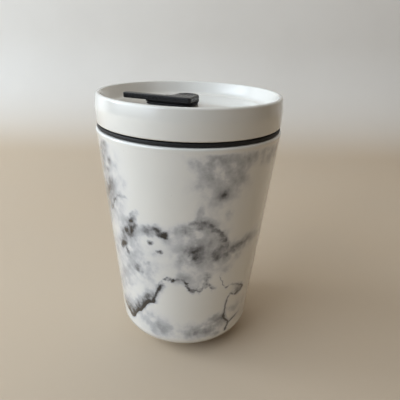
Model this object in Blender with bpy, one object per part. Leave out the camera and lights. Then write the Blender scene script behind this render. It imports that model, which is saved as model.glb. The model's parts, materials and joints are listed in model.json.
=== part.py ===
"""Insulated porcelain travel mug: a double-walled cup, a lid with a silicone seal, and a
swinging shutter that covers the drinking hole.

Metres, +Z up. The origin is the middle of the foot, on the surface that the mug stands on.
The lid lifts along +Z (empty lid_lift), and the shutter turns about a vertical axis near the
middle of the lid (empty shutter_pivot). The shutter's own pieces are built in a frame whose
+X runs from the pivot to the tip of the lever.
"""

import math

import bmesh
import bpy

GAP = 0.0003                # clearance left between pieces that touch

# Cup
RIM_HEIGHT = 0.1076         # foot to the drinking rim
RIM_RADIUS = 0.0422         # outside, at the rim
BASE_RADIUS = 0.0323        # where the straight side would meet the table
FOOT_CURVE = (0.0200, 0.0120)   # width and height of the elliptic curve into the base
OUTER_WALL = 0.0026
LIP_HEIGHT = 0.0020         # the liner's lip, which caps the outer wall
LINER_MOUTH = 0.0342        # inside radius at the rim
LINER_WALL = 0.0024
FOOT_RING = (0.0195, 0.0230)
FOOT_RECESS = 0.0016
OUTER_FLOOR = 0.0048        # top face of the outer shell's floor
LINER_BOTTOM = 0.0088
LINER_FLOOR = 0.0114
VENT_RADIUS = 0.0030        # hole in the base, which the plug closes
BOND_DEPTH = 0.0060
CUSHION = (0.0085, 0.0152)

# Lid
HEIGHT = 0.1224             # foot to the crest of the lid
LID_RADIUS = 0.0420
SKIRT_BOTTOM = 0.1097
SKIRT_INSIDE = 0.0385
DISH_DEPTH = 0.0060
DISH_RADIUS = 0.0360
LID_FLOOR = 0.0036          # thickness of the dish's floor
CREST = (0.0398, 0.0414)    # inner and outer corner of the raised rim, before rounding
SHOULDER = 0.1168           # height of the lid's widest point
GROOVE_ROOF = (0.1138, 0.1141)  # over the seal, beside the collar and beside the skirt
COLLAR = (0.0284, 0.0310)
COLLAR_BOTTOM = 0.0985
FLANGE_RADIUS = 0.0415      # visible edge of the seal
FLANGE_THICK = 0.0014
SLEEVE_RADIUS = 0.0325

# Shutter
PIVOT = (-0.0012, 0.0018)
ARM_ANGLE = math.radians(157.5)
LEVER_TOP = 0.0015          # below the crest of the lid
LEVER_THICK = 0.0023
LEVER_REACH = 0.0276        # pivot to the lever's tip
HEAD_RADIUS = 0.0054
BAR_EDGES = (0.0065, 0.0108)    # back and front of the bar, which passes in front of the pivot
BAR_END = 0.0059            # the bar's short end, past the pivot
SHUTTER_END = 0.0167        # pivot to the far side of the lever's foot
SHUTTER_FRONT = 0.0098
SWING = math.radians(120)
DRINK_HOLE = (0.0112, 0.0024)
DRINK_HALF = (0.0030, 0.0048)
AIR_HOLE = (0.0066, -0.0028)
AIR_HOLE_RADIUS = 0.0008
BOSS_RADIUS = 0.0026
KEY_RADIUS = 0.0024         # the boss's lower end, which has two flats
BOSS_FLAT = 0.0020
BUSH_RADIUS = 0.0047
BUSH_FLANGE = 0.0058
BUSH_FLANGE_THICK = 0.0009
SCREW_RADIUS = 0.0012
SCREW_HEAD = 0.0028
DRIVE_RADIUS = 0.0060
DRIVE_THICK = 0.0012
TAB_RADIUS = 0.0085
TAB_HALF = math.radians(8)
STOP_CLEARANCE = math.radians(1.5)
STOP_WIDTH = math.radians(14)
CAP_RADIUS = 0.0066

# Heights that follow from the ones above
LIP_BOTTOM = RIM_HEIGHT - LIP_HEIGHT
TAPER = (RIM_RADIUS - BASE_RADIUS) / RIM_HEIGHT
DISH_FLOOR = HEIGHT - DISH_DEPTH
LID_UNDERSIDE = DISH_FLOOR - LID_FLOOR
FLANGE_BOTTOM = RIM_HEIGHT + GAP
LEVER_Z = (HEIGHT - LEVER_TOP - LEVER_THICK, HEIGHT - LEVER_TOP)
GASKET_Z = (DISH_FLOOR + GAP, DISH_FLOOR + 0.0011)
SHUTTER_Z = (GASKET_Z[1] + GAP, LEVER_Z[0] + 0.0004)
BUSH_BOTTOM = LID_UNDERSIDE - GAP - BUSH_FLANGE_THICK
DRIVE_Z = (BUSH_BOTTOM - GAP - DRIVE_THICK, BUSH_BOTTOM - GAP)
BOSS_BOTTOM = DRIVE_Z[0] - GAP
SPRING_Z = (BOSS_BOTTOM - 0.0013, BOSS_BOTTOM - GAP)
SCREW_HEAD_Z = (SPRING_Z[0] - GAP - 0.0020, SPRING_Z[0] - GAP)

PORCELAIN = ((0.86, 0.85, 0.81), 0.12, 0.0)
CHARCOAL_SILICONE = ((0.045, 0.045, 0.048), 0.55, 0.0)
WHITE_SILICONE = ((0.75, 0.74, 0.71), 0.55, 0.0)
CHARCOAL_PLASTIC = ((0.040, 0.040, 0.043), 0.38, 0.0)
NATURAL_PLASTIC = ((0.62, 0.61, 0.57), 0.45, 0.0)
STEEL = ((0.60, 0.60, 0.59), 0.25, 1.0)

WIDE_STEPS, SMALL_STEPS = 48, 24    # steps round a turned piece
SMALL_ROUND = 0.0025                # a curve tighter than this takes the longer arc step


# ---- outlines ----------------------------------------------------------------------------

def arc(centre, radius, start, end):
    """Points from one angle to the other, both ends included."""
    longest = math.radians(32 if radius < SMALL_ROUND else 17)
    steps = max(1, math.ceil(abs(end - start) / longest))
    angles = [start + (end - start) * i / steps for i in range(steps + 1)]
    return [(centre[0] + radius * math.cos(a), centre[1] + radius * math.sin(a)) for a in angles]


def fillet(before, corner, after, radius):
    """The corner as an arc that meets both of its edges."""
    to_before = math.atan2(before[1] - corner[1], before[0] - corner[0])
    to_after = math.atan2(after[1] - corner[1], after[0] - corner[0])
    turn = (to_after - to_before + math.pi) % math.tau - math.pi
    half = abs(turn) / 2
    middle = to_before + turn / 2
    reach = radius / math.sin(half)
    centre = (corner[0] + reach * math.cos(middle), corner[1] + reach * math.sin(middle))
    side = math.copysign(1, turn)
    start = to_before - side * math.pi / 2
    return arc(centre, radius, start, start - side * (math.pi - 2 * half))


def rounded(corners):
    """A closed outline from (x, y) points and (x, y, radius) corners."""
    points = []
    for i, corner in enumerate(corners):
        if len(corner) == 2:
            points.append(corner)
        else:
            after = corners[(i + 1) % len(corners)]
            points += fillet(corners[i - 1], corner, after, corner[2])
    return points


def circle(radius, steps):
    return [
        (radius * math.cos(math.tau * i / steps), radius * math.sin(math.tau * i / steps))
        for i in range(steps)
    ]


def obround(centre, half, steps=8):
    """A round-ended slot whose long side runs along Y."""
    reach = half[1] - half[0]
    top = [(centre[0] + half[0] * math.cos(math.pi * i / steps),
            centre[1] + reach + half[0] * math.sin(math.pi * i / steps)) for i in range(steps + 1)]
    bottom = [(2 * centre[0] - x, 2 * centre[1] - y) for x, y in top]
    return top + bottom


def shutter_outline(inset):
    """The foot of the lever: round about the pivot, and squarer towards the lever's tip."""
    front, back = SHUTTER_FRONT - inset, -HEAD_RADIUS + inset
    return rounded([
        (-HEAD_RADIUS + inset, front, 0.0042),
        (-HEAD_RADIUS + inset, back, HEAD_RADIUS - inset - 0.0001),
        (SHUTTER_END - inset, back, 0.0050),
        (SHUTTER_END - inset, front, 0.0015),
    ])


def flatted(radius, flat):
    """A circle with a flat across each side."""
    corner = math.asin(flat / radius)
    right = arc((0, 0), radius, -corner, corner)
    return right + [(-x, -y) for x, y in right]


# ---- solids ------------------------------------------------------------------------------

def add_object(name, mesh_data, parent=None):
    mesh = bpy.data.meshes.new(name)
    mesh_data.to_mesh(mesh)
    mesh_data.free()
    mesh.shade_smooth()
    mesh.set_sharp_from_angle(angle=math.radians(35))
    piece = bpy.data.objects.new(name, mesh)
    bpy.context.collection.objects.link(piece)
    piece.parent = parent
    return piece


def turned(name, profile, steps, parent=None):
    """Spins an (r, z) profile about Z. A profile that reaches the axis starts and ends on it."""
    shape = bmesh.new()
    verts = [shape.verts.new((r, 0, z)) for r, z in profile]
    edges = [shape.edges.new(pair) for pair in zip(verts, verts[1:])]
    if profile[0][0] > 0:
        edges.append(shape.edges.new((verts[-1], verts[0])))
    bmesh.ops.spin(shape, geom=verts + edges, cent=(0, 0, 0), axis=(0, 0, 1),
                   angle=math.tau, steps=steps, use_duplicate=False)
    bmesh.ops.remove_doubles(shape, verts=shape.verts, dist=1e-6)
    bmesh.ops.recalc_face_normals(shape, faces=shape.faces)
    return add_object(name, shape, parent)


def slab(name, outline, z_range, parent=None):
    """Extrudes a plan outline between two heights."""
    shape = bmesh.new()
    base = shape.faces.new([shape.verts.new((x, y, z_range[0])) for x, y in outline])
    raised = bmesh.ops.extrude_face_region(shape, geom=[base])["geom"]
    top = [part for part in raised if isinstance(part, bmesh.types.BMVert)]
    bmesh.ops.translate(shape, verts=top, vec=(0, 0, z_range[1] - z_range[0]))
    bmesh.ops.remove_doubles(shape, verts=shape.verts, dist=1e-6)
    bmesh.ops.recalc_face_normals(shape, faces=shape.faces)
    return add_object(name, shape, parent)


def combine(piece, tool, operation):
    """Joins or cuts with a helper, which is left out of the model."""
    tool.hide_render = True
    tool.display_type = "WIRE"
    modifier = piece.modifiers.new(tool.name, "BOOLEAN")
    modifier.operation = operation
    modifier.object = tool


def finish(piece, look):
    colour, roughness, metallic = look
    material = bpy.data.materials.new(piece.name)
    material.use_nodes = True
    shader = material.node_tree.nodes["Principled BSDF"]
    shader.inputs["Base Color"].default_value = (*colour, 1)
    shader.inputs["Roughness"].default_value = roughness
    shader.inputs["Metallic"].default_value = metallic
    piece.data.materials.append(material)


def axis_empty(name, location, parent=None):
    empty = bpy.data.objects.new(name, None)
    bpy.context.collection.objects.link(empty)
    empty.location = location
    empty.parent = parent
    return empty


# ---- cup ---------------------------------------------------------------------------------

def outside(z):
    """Radius of the cup's straight side."""
    return BASE_RADIUS + TAPER * z


def shell_inside(z):
    return outside(z) - OUTER_WALL


def liner_inside(z):
    return LINER_MOUTH - TAPER * (RIM_HEIGHT - z)


def liner_outside(z):
    return liner_inside(z) + LINER_WALL


def foot_curve():
    """A quarter of an ellipse from the side towards the base, cut off at the foot ring."""
    width, height = FOOT_CURVE
    centre = outside(height) - width
    last = math.acos((FOOT_RING[1] - centre) / width)
    steps = 7
    angles = [last * i / steps for i in range(steps + 1)]
    return [(centre + width * math.cos(a), height * (1 - math.sin(a))) for a in angles]


def outer_shell():
    top = LIP_BOTTOM - GAP
    profile = rounded([
        (outside(top), top, 0.0004),
        *foot_curve(),
        (FOOT_RING[1], 0.0),
        (FOOT_RING[0], 0.0),
        (FOOT_RING[0] - 0.0006, FOOT_RECESS),
        (VENT_RADIUS, FOOT_RECESS),
        (VENT_RADIUS, OUTER_FLOOR),
        (shell_inside(OUTER_FLOOR), OUTER_FLOOR, 0.0110),
        (shell_inside(top), top, 0.0004),
    ])
    finish(turned("outer_shell", profile, WIDE_STEPS), PORCELAIN)


def inner_cup():
    outline = rounded([
        (0.0, LINER_BOTTOM),
        (liner_outside(LINER_BOTTOM), LINER_BOTTOM, 0.0125),
        (liner_outside(LIP_BOTTOM), LIP_BOTTOM, 0.0006),
        (outside(LIP_BOTTOM), LIP_BOTTOM, 0.0003),
        (RIM_RADIUS, RIM_HEIGHT, 0.0010),
        (LINER_MOUTH, RIM_HEIGHT, 0.0010),
        (liner_inside(LINER_FLOOR), LINER_FLOOR, 0.0105),
        (0.0, LINER_FLOOR),
    ])
    finish(turned("inner_cup", outline, WIDE_STEPS), PORCELAIN)


def rim_bond():
    """Ring of adhesive that joins the two walls under the lip."""
    top = LIP_BOTTOM - GAP
    bottom = top - BOND_DEPTH
    profile = [
        (liner_outside(top) + 2 * GAP, top),
        (shell_inside(top) - GAP, top),
        (shell_inside(bottom) - GAP, bottom),
        (liner_outside(bottom) + GAP, bottom),
    ]
    finish(turned("rim_bond", profile, WIDE_STEPS), WHITE_SILICONE)


def base_cushion():
    """Silicone ring that the liner rests on."""
    low, high = OUTER_FLOOR + GAP, LINER_BOTTOM - GAP
    profile = [(CUSHION[0], low), (CUSHION[0], high), (CUSHION[1], high), (CUSHION[1], low)]
    finish(turned("base_cushion", profile, SMALL_STEPS), WHITE_SILICONE)


def base_plug():
    """Mushroom plug in the base's vent: a flat head outside, a stem, and a bulb inside."""
    stem = VENT_RADIUS - GAP
    profile = rounded([
        (0.0, 0.0004),
        (0.0048, 0.0004, 0.0003),
        (0.0048, FOOT_RECESS - GAP, 0.0003),
        (stem, FOOT_RECESS - GAP),
        (stem, OUTER_FLOOR + GAP),
        (0.0037, OUTER_FLOOR + GAP),
        (0.0024, LINER_BOTTOM - 0.0010, 0.0006),
        (0.0, LINER_BOTTOM - 0.0010),
    ])
    finish(turned("base_plug", profile, SMALL_STEPS), WHITE_SILICONE)


# ---- lid ---------------------------------------------------------------------------------

def in_pivot_frame(name, outline, z_range, parent):
    """A slab drawn in the shutter's frame and placed in the lid's."""
    piece = slab(name, outline, z_range, parent)
    piece.location = (*PIVOT, 0)
    piece.rotation_euler = (0, 0, ARM_ANGLE)
    return piece


def stop_lug(name, start, parent):
    """Lug under the lid that the drive washer's tab comes up against."""
    edge = [
        *arc((0, 0), TAB_RADIUS + GAP, start, start + STOP_WIDTH),
        *arc((0, 0), DRIVE_RADIUS + 2 * GAP, start + STOP_WIDTH, start),
    ]
    return in_pivot_frame(name, edge, (DRIVE_Z[0], LID_UNDERSIDE + 0.0005), parent)


def lid_shell(parent):
    """Porcelain lid: raised rim, dished top, and a collar underneath that carries the seal."""
    outline = rounded([
        (0.0, DISH_FLOOR),
        (DISH_RADIUS, DISH_FLOOR, 0.0030),
        (CREST[0], HEIGHT, 0.0009),
        (CREST[1], HEIGHT, 0.0011),
        (LID_RADIUS, SHOULDER, 0.0100),
        (LID_RADIUS - 0.0003, SKIRT_BOTTOM, 0.0009),
        (SKIRT_INSIDE, SKIRT_BOTTOM, 0.0009),
        (SKIRT_INSIDE, GROOVE_ROOF[1], 0.0010),
        (COLLAR[1], GROOVE_ROOF[0], 0.0006),
        (COLLAR[1], COLLAR_BOTTOM, 0.0009),
        (COLLAR[0], COLLAR_BOTTOM, 0.0009),
        (COLLAR[0], LID_UNDERSIDE, 0.0020),
        (0.0, LID_UNDERSIDE),
    ])
    lid = turned("lid_shell", outline, WIDE_STEPS, parent)
    through = (LID_UNDERSIDE - 0.0050, DISH_FLOOR + 0.0020)
    tab = math.pi
    reach = TAB_HALF + STOP_CLEARANCE
    combine(lid, stop_lug("stop_closed", tab + reach, parent), "UNION")
    combine(lid, stop_lug("stop_open", tab - SWING - reach - STOP_WIDTH, parent), "UNION")
    pivot_hole = circle(BUSH_RADIUS + GAP, SMALL_STEPS)
    combine(lid, in_pivot_frame("pivot_hole", pivot_hole, through, parent), "DIFFERENCE")
    drink_hole = obround(DRINK_HOLE, DRINK_HALF)
    combine(lid, in_pivot_frame("drink_hole", drink_hole, through, parent), "DIFFERENCE")
    air_hole = [(AIR_HOLE[0] + x, AIR_HOLE[1] + y) for x, y in circle(AIR_HOLE_RADIUS, 12)]
    combine(lid, in_pivot_frame("air_hole", air_hole, through, parent), "DIFFERENCE")
    finish(lid, PORCELAIN)


def lid_seal(parent):
    """Silicone ring on the collar: a flange on the cup's rim and two lips inside its mouth."""
    inside = COLLAR[1] + GAP
    bottom = COLLAR_BOTTOM + 0.0005
    lip_heights = (0.1014, 0.1050)
    lips = []
    for z in lip_heights:
        reach = liner_inside(z) - GAP
        lips += [(SLEEVE_RADIUS, z - 0.0008), (reach, z), (reach, z + 0.0003),
                 (SLEEVE_RADIUS, z + 0.0006)]
    profile = rounded([
        (inside, bottom),
        (SLEEVE_RADIUS, bottom, 0.0005),
        *lips,
        (SLEEVE_RADIUS, FLANGE_BOTTOM),
        (FLANGE_RADIUS, FLANGE_BOTTOM, 0.0004),
        (FLANGE_RADIUS, FLANGE_BOTTOM + FLANGE_THICK, 0.0004),
        (inside + 0.0030, FLANGE_BOTTOM + FLANGE_THICK),
        (inside + 0.0030, GROOVE_ROOF[0] - 0.0004),
        (inside + 0.0004, GROOVE_ROOF[0] - 0.0004),
    ])
    finish(turned("lid_seal", profile, WIDE_STEPS, parent), CHARCOAL_SILICONE)


def pivot_bush(parent):
    """Flanged bush in the lid's middle hole, with a seat for the O-ring at its top."""
    bore = BOSS_RADIUS + GAP
    top = DISH_FLOOR - GAP
    profile = [
        (bore, BUSH_BOTTOM),
        (BUSH_FLANGE, BUSH_BOTTOM),
        (BUSH_FLANGE, BUSH_BOTTOM + BUSH_FLANGE_THICK),
        (BUSH_RADIUS, BUSH_BOTTOM + BUSH_FLANGE_THICK),
        (BUSH_RADIUS, top),
        (BUSH_RADIUS - 0.0004, top),
        (BUSH_RADIUS - 0.0004, top - 0.0013),
        (bore, top - 0.0013),
    ]
    bush = turned("pivot_bush", profile, SMALL_STEPS, parent)
    bush.location = (*PIVOT, 0)
    finish(bush, NATURAL_PLASTIC)


# ---- shutter -----------------------------------------------------------------------------

def lever_outline():
    """A straight bar along the front, and behind it a round-ended head over the pivot."""
    back, front = BAR_EDGES
    return rounded([
        *arc((0, 0), HEAD_RADIUS, 0, -math.pi),
        (-BAR_END, front, 0.0012),
        (LEVER_REACH, front, 0.0014),
        (LEVER_REACH, back, 0.0014),
        (HEAD_RADIUS, back, 0.0034),
    ])


def lever(parent):
    piece = slab("lever", lever_outline(), LEVER_Z, parent)
    edge = piece.modifiers.new("soft edge", "BEVEL")
    edge.width = 0.00035
    edge.segments = 2
    edge.limit_method = "ANGLE"
    edge.angle_limit = math.radians(60)
    foot = slab("lever_foot", shutter_outline(0.0), SHUTTER_Z, parent)
    combine(piece, foot, "UNION")
    boss = slab("lever_boss", circle(BOSS_RADIUS, SMALL_STEPS), (DRIVE_Z[1] + GAP, LEVER_Z[0]), parent)
    combine(piece, boss, "UNION")
    flats = flatted(KEY_RADIUS, BOSS_FLAT)
    key = slab("lever_key", flats, (BOSS_BOTTOM, DRIVE_Z[1] + 2 * GAP), parent)
    combine(piece, key, "UNION")
    bore = circle(SCREW_RADIUS + GAP, 16)
    combine(piece, slab("screw_bore", bore, (0.1000, LEVER_Z[0] - 0.0010), parent), "DIFFERENCE")
    top = LEVER_Z[1]
    dip = [(0.0, top - 0.0005), (0.0026, top - 0.0004), (0.0042, top), (0.0047, top + 0.0004),
           (0.0, top + 0.0004)]
    combine(piece, turned("finger_dip", dip, SMALL_STEPS, parent), "DIFFERENCE")
    finish(piece, CHARCOAL_PLASTIC)


def shutter_gasket(parent):
    """Silicone pad under the lever's foot. It covers the drinking hole and the air hole."""
    pad = slab("shutter_gasket", shutter_outline(GAP), GASKET_Z, parent)
    hole = circle(BOSS_RADIUS + GAP, SMALL_STEPS)
    reach = (GASKET_Z[0] - 0.0010, GASKET_Z[1] + 0.0010)
    combine(pad, slab("gasket_hole", hole, reach, parent), "DIFFERENCE")
    finish(pad, CHARCOAL_SILICONE)


def pivot_o_ring(parent):
    section = 0.0005
    centre = (BOSS_RADIUS + GAP + section, DISH_FLOOR - GAP - section)
    profile = [(centre[0] + x, centre[1] + y) for x, y in circle(section, 8)]
    finish(turned("pivot_o_ring", profile, SMALL_STEPS, parent), CHARCOAL_SILICONE)


def drive_washer(parent):
    """Keyed washer that turns with the lever. Its tab meets the two lugs under the lid."""
    start = math.pi + TAB_HALF
    tab = [(TAB_RADIUS * math.cos(a), TAB_RADIUS * math.sin(a))
           for a in (math.pi - TAB_HALF, math.pi, math.pi + TAB_HALF)]
    rim = arc((0, 0), DRIVE_RADIUS, start, start + math.tau - 2 * TAB_HALF)
    washer = slab("drive_washer", rim + tab, DRIVE_Z, parent)
    hole = flatted(KEY_RADIUS + GAP, BOSS_FLAT + GAP)
    reach = (DRIVE_Z[0] - 0.0010, DRIVE_Z[1] + 0.0010)
    combine(washer, slab("washer_hole", hole, reach, parent), "DIFFERENCE")
    finish(washer, NATURAL_PLASTIC)


def spring_washer(parent):
    """Coned steel washer that pulls the gasket down on the lid."""
    inner, outer, thick = 0.0021, 0.0054, 0.0004
    low, high = SPRING_Z
    profile = [(inner, low), (outer, high - thick), (outer, high), (inner, low + thick)]
    finish(turned("spring_washer", profile, SMALL_STEPS, parent), STEEL)


def pivot_screw(parent):
    low, high = SCREW_HEAD_Z
    tip = LEVER_Z[0] - 0.0015
    profile = rounded([
        (0.0, low),
        (SCREW_HEAD, low, 0.0007),
        (SCREW_HEAD, high),
        (SCREW_RADIUS, high),
        (SCREW_RADIUS, tip - 0.0004),
        (SCREW_RADIUS - 0.0004, tip),
        (0.0, tip),
    ])
    screw = turned("pivot_screw", profile, SMALL_STEPS, parent)
    socket = circle(0.0013, 6)
    combine(screw, slab("screw_socket", socket, (low - 0.0010, low + 0.0011), parent), "DIFFERENCE")
    finish(screw, STEEL)


def screw_cap(parent):
    """Cap that keeps the drink off the screw and the spring."""
    wall, floor = 0.0007, 0.0009
    bottom = SCREW_HEAD_Z[0] - 0.0006 - floor
    top = DRIVE_Z[0] - GAP
    profile = rounded([
        (0.0, bottom),
        (CAP_RADIUS, bottom, 0.0008),
        (CAP_RADIUS, top),
        (CAP_RADIUS - wall, top),
        (CAP_RADIUS - wall, bottom + floor),
        (0.0, bottom + floor),
    ])
    finish(turned("screw_cap", profile, SMALL_STEPS, parent), NATURAL_PLASTIC)


def main():
    for old in list(bpy.data.objects):
        bpy.data.objects.remove(old)

    outer_shell()
    inner_cup()
    rim_bond()
    base_cushion()
    base_plug()

    lid_lift = axis_empty("lid_lift", (0, 0, 0))
    lid_shell(lid_lift)
    lid_seal(lid_lift)
    pivot_bush(lid_lift)

    shutter_pivot = axis_empty("shutter_pivot", (*PIVOT, 0), lid_lift)
    shutter_pivot.rotation_euler = (0, 0, ARM_ANGLE)
    lever(shutter_pivot)
    shutter_gasket(shutter_pivot)
    pivot_o_ring(shutter_pivot)
    drive_washer(shutter_pivot)
    spring_washer(shutter_pivot)
    pivot_screw(shutter_pivot)
    screw_cap(shutter_pivot)


main()
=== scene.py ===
"""Looks of the insulated porcelain travel mug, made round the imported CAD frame.

Metres, +Z up. The visible pieces are turned and lofted again at a finer step, to the frame's
own sizes, and each rides on the body that its CAD node belongs to. The pieces that are hidden
inside keep their CAD shape and get a better material.
"""

import json
import math

import bmesh
import bpy
from mathutils import Matrix, Vector, noise


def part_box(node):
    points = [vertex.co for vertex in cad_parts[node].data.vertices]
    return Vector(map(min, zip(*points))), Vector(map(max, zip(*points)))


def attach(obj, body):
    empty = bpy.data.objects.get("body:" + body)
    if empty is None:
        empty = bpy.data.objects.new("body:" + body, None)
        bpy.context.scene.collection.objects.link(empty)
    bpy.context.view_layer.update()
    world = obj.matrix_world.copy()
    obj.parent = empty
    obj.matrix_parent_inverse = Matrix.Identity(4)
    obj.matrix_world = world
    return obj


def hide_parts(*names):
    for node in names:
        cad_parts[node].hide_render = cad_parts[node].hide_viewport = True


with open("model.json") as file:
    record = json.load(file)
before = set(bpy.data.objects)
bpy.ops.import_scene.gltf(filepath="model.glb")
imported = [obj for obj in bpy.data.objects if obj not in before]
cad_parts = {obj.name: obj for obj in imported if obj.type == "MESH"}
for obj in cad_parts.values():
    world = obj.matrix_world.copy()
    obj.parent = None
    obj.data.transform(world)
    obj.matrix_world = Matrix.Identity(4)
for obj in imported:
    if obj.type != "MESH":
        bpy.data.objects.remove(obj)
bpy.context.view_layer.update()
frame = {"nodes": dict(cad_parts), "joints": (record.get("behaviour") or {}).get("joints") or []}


# ---- sizes -------------------------------------------------------------------------------

def low(node):
    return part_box(node)[0]


def high(node):
    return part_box(node)[1]


def ring(node, height):
    """Inner and outer radius of a turned CAD node at a height."""
    mesh = frame["nodes"][node].data
    radii = []
    for edge in mesh.edges:
        a, b = (mesh.vertices[i].co for i in edge.vertices)
        if (a.z - height) * (b.z - height) < 0:
            radii.append(a.lerp(b, (height - a.z) / (b.z - a.z)).xy.length)
    middle = (min(radii) + max(radii)) / 2
    return max(r for r in radii if r < middle), max(radii)


def straight(node, side):
    """Radius at height 0 and slope of a tapered wall, on its inner (0) or outer (1) side."""
    below, above = 0.030, 0.085
    radii = [ring(node, height)[side] for height in (below, above)]
    slope = (radii[1] - radii[0]) / (above - below)
    return radii[0] - slope * below, slope


GAP = 0.0003                # between pieces that touch
HAIRLINE = 0.00002          # gap at the joint under the lip, too fine to see
TURNED_STEPS = 240          # sides of the large turned pieces

# Cup
RIM_HEIGHT = high("inner_cup").z
LIP_BOTTOM = high("outer_shell").z + GAP
SIDE = straight("outer_shell", 1)
SHELL_INSIDE = straight("outer_shell", 0)
LINER_INSIDE = straight("inner_cup", 0)
LINER_OUTSIDE = straight("inner_cup", 1)
LINER_BOTTOM = low("inner_cup").z
LINER_FLOOR = LINER_BOTTOM + 0.0026
OUTER_FLOOR = low("base_cushion").z - GAP
FOOT_CURVE = (0.0200, 0.0120)       # width and height of the curve between side and base
FOOT_RING = (0.0195, 0.0230)        # inner and outer radius
FOOT_RECESS = 0.0016
VENT_RADIUS = 0.0030

# Lid
HEIGHT = high("lid_shell").z
DISH_FLOOR = HEIGHT - 0.0060
DISH_RADIUS = 0.0360
CREST = (0.0398, 0.0414)            # inner and outer radius of the rim's top
LID_RADIUS = 0.0420
SHOULDER = 0.1168
SKIRT_BOTTOM = high("lid_seal").z - 0.0037
SKIRT_INSIDE = 0.0385
GROOVE_ROOF = (0.1138, 0.1141)      # heights at the collar and at the skirt
COLLAR = (0.0284, 0.0310)
COLLAR_BOTTOM = low("lid_shell").z
LID_PLATE = 0.0036
LID_UNDERSIDE = high("pivot_bush").z + GAP - LID_PLATE

# Shutter. Its pieces are drawn in a frame whose +X runs from the pivot to the lever's tip.
SWING_JOINT = next(j for j in frame["joints"] if j["name"] == "shutter_swing")
PIVOT = Vector(SWING_JOINT["pos_m"][:2])
ARM_ANGLE = math.radians(157.5)
HEAD_RADIUS = 0.0054
BAR_EDGES = (0.0065, 0.0108)
BAR_END = 0.0059
LEVER_REACH = 0.0276
LEVER_THICK = 0.0023
LEVER_Z = (high("lever").z - LEVER_THICK, high("lever").z)
SOFT_BEHIND = (0.0098, 0.0072)      # Y where the lever's edges start and finish getting rounder
SOFT_HEAD = (0.0085, 0.0050)        # the same along X
EXTRA_SOFT = 1.2
FINGER_DIP = [(0.0, 0.00052), (0.0012, 0.00050), (0.0024, 0.00042), (0.0034, 0.00026), (0.0041, 0.00008)]
DIP_EDGE = 0.0046
BOSS_RADII = (0.0024, 0.0026)
SHUTTER_END = 0.0167
SHUTTER_FRONT = 0.0098
SHUTTER_CORNERS = (0.0042, 0.0050, 0.0015)      # by the head, then behind and in front of the end
GASKET_Z = (low("shutter_gasket").z, high("shutter_gasket").z)
DRINK_HOLE = (0.0112, 0.0024)
DRINK_HALF = (0.0030, 0.0048)       # half width and half length
AIR_HOLE = (0.0066, -0.0028)
AIR_HOLE_RADIUS = 0.0008
GASKET_HOLE_RADIUS = 0.0029

# Seal
SEAL_LIPS = (0.1014, 0.1050)        # heights of the two lips inside the mouth
SEAL_SLEEVE = 0.0325
SEAL_FLANGE_Z = (RIM_HEIGHT + GAP, RIM_HEIGHT + 0.0017)

# Camera, which looks a little down on the lid
CAMERA_PLACE = (0, -0.18446, 0.1475)
CAMERA_PITCH, CAMERA_ROLL, CAMERA_YAW = (math.radians(a) for a in (22.87, 2.08, 1.95))


# ---- outlines ----------------------------------------------------------------------------

def arc(centre, radius, start, end, step=math.radians(7)):
    """Points from one angle to the other, both ends included."""
    steps = max(2, math.ceil(abs(end - start) / step))
    angles = [start + (end - start) * i / steps for i in range(steps + 1)]
    return [(centre[0] + radius * math.cos(a), centre[1] + radius * math.sin(a)) for a in angles]


def fillet(before, corner, after, radius):
    """The corner as an arc that meets both of its edges."""
    to_before = math.atan2(before[1] - corner[1], before[0] - corner[0])
    to_after = math.atan2(after[1] - corner[1], after[0] - corner[0])
    turn = (to_after - to_before + math.pi) % math.tau - math.pi
    half = abs(turn) / 2
    middle = to_before + turn / 2
    reach = radius / math.sin(half)
    centre = (corner[0] + reach * math.cos(middle), corner[1] + reach * math.sin(middle))
    side = math.copysign(1, turn)
    start = to_before - side * math.pi / 2
    return arc(centre, radius, start, start - side * (math.pi - 2 * half))


def rounded(corners):
    """A closed outline from (x, y) points and (x, y, radius) corners."""
    points = []
    for i, corner in enumerate(corners):
        if len(corner) == 2:
            points.append(corner)
        else:
            after = corners[(i + 1) % len(corners)]
            points += fillet(corners[i - 1], corner, after, corner[2])
    return points


def circle(radius, steps, centre=(0, 0)):
    return [(centre[0] + radius * math.cos(math.tau * i / steps),
             centre[1] + radius * math.sin(math.tau * i / steps)) for i in range(steps)]


def obround(centre, half, grow=0.0, steps=20):
    """A round-ended slot whose long side runs along Y, larger all round by grow."""
    reach = half[1] - half[0]
    radius = half[0] + grow
    top = [(centre[0] + radius * math.cos(math.pi * i / steps),
            centre[1] + reach + radius * math.sin(math.pi * i / steps)) for i in range(steps + 1)]
    return top + [(2 * centre[0] - x, 2 * centre[1] - y) for x, y in top]


def inset(outline, depth):
    """An anticlockwise outline moved inwards by one depth, or by a list with one for each point."""
    depths = depth if isinstance(depth, list) else [depth] * len(outline)
    moved = []
    for i, (x, y) in enumerate(outline):
        before, after = outline[i - 1], outline[(i + 1) % len(outline)]
        into = Vector((x - before[0], y - before[1])).normalized()
        away = Vector((after[0] - x, after[1] - y)).normalized()
        along = (into + away).normalized()
        scale = depths[i] / max(0.5, along.dot(into))
        moved.append((x - along.y * scale, y + along.x * scale))
    return moved


def anticlockwise(outline):
    area = sum(a[0] * b[1] - b[0] * a[1] for a, b in zip(outline, outline[1:] + outline[:1]))
    return outline if area > 0 else outline[::-1]


# ---- meshes ------------------------------------------------------------------------------

def add_piece(name, shape, sharp=35):
    mesh = bpy.data.meshes.new(name)
    shape.to_mesh(mesh)
    shape.free()
    mesh.shade_smooth()
    mesh.set_sharp_from_angle(angle=math.radians(sharp))
    piece = bpy.data.objects.new(name, mesh)
    bpy.context.scene.collection.objects.link(piece)
    return piece


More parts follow.
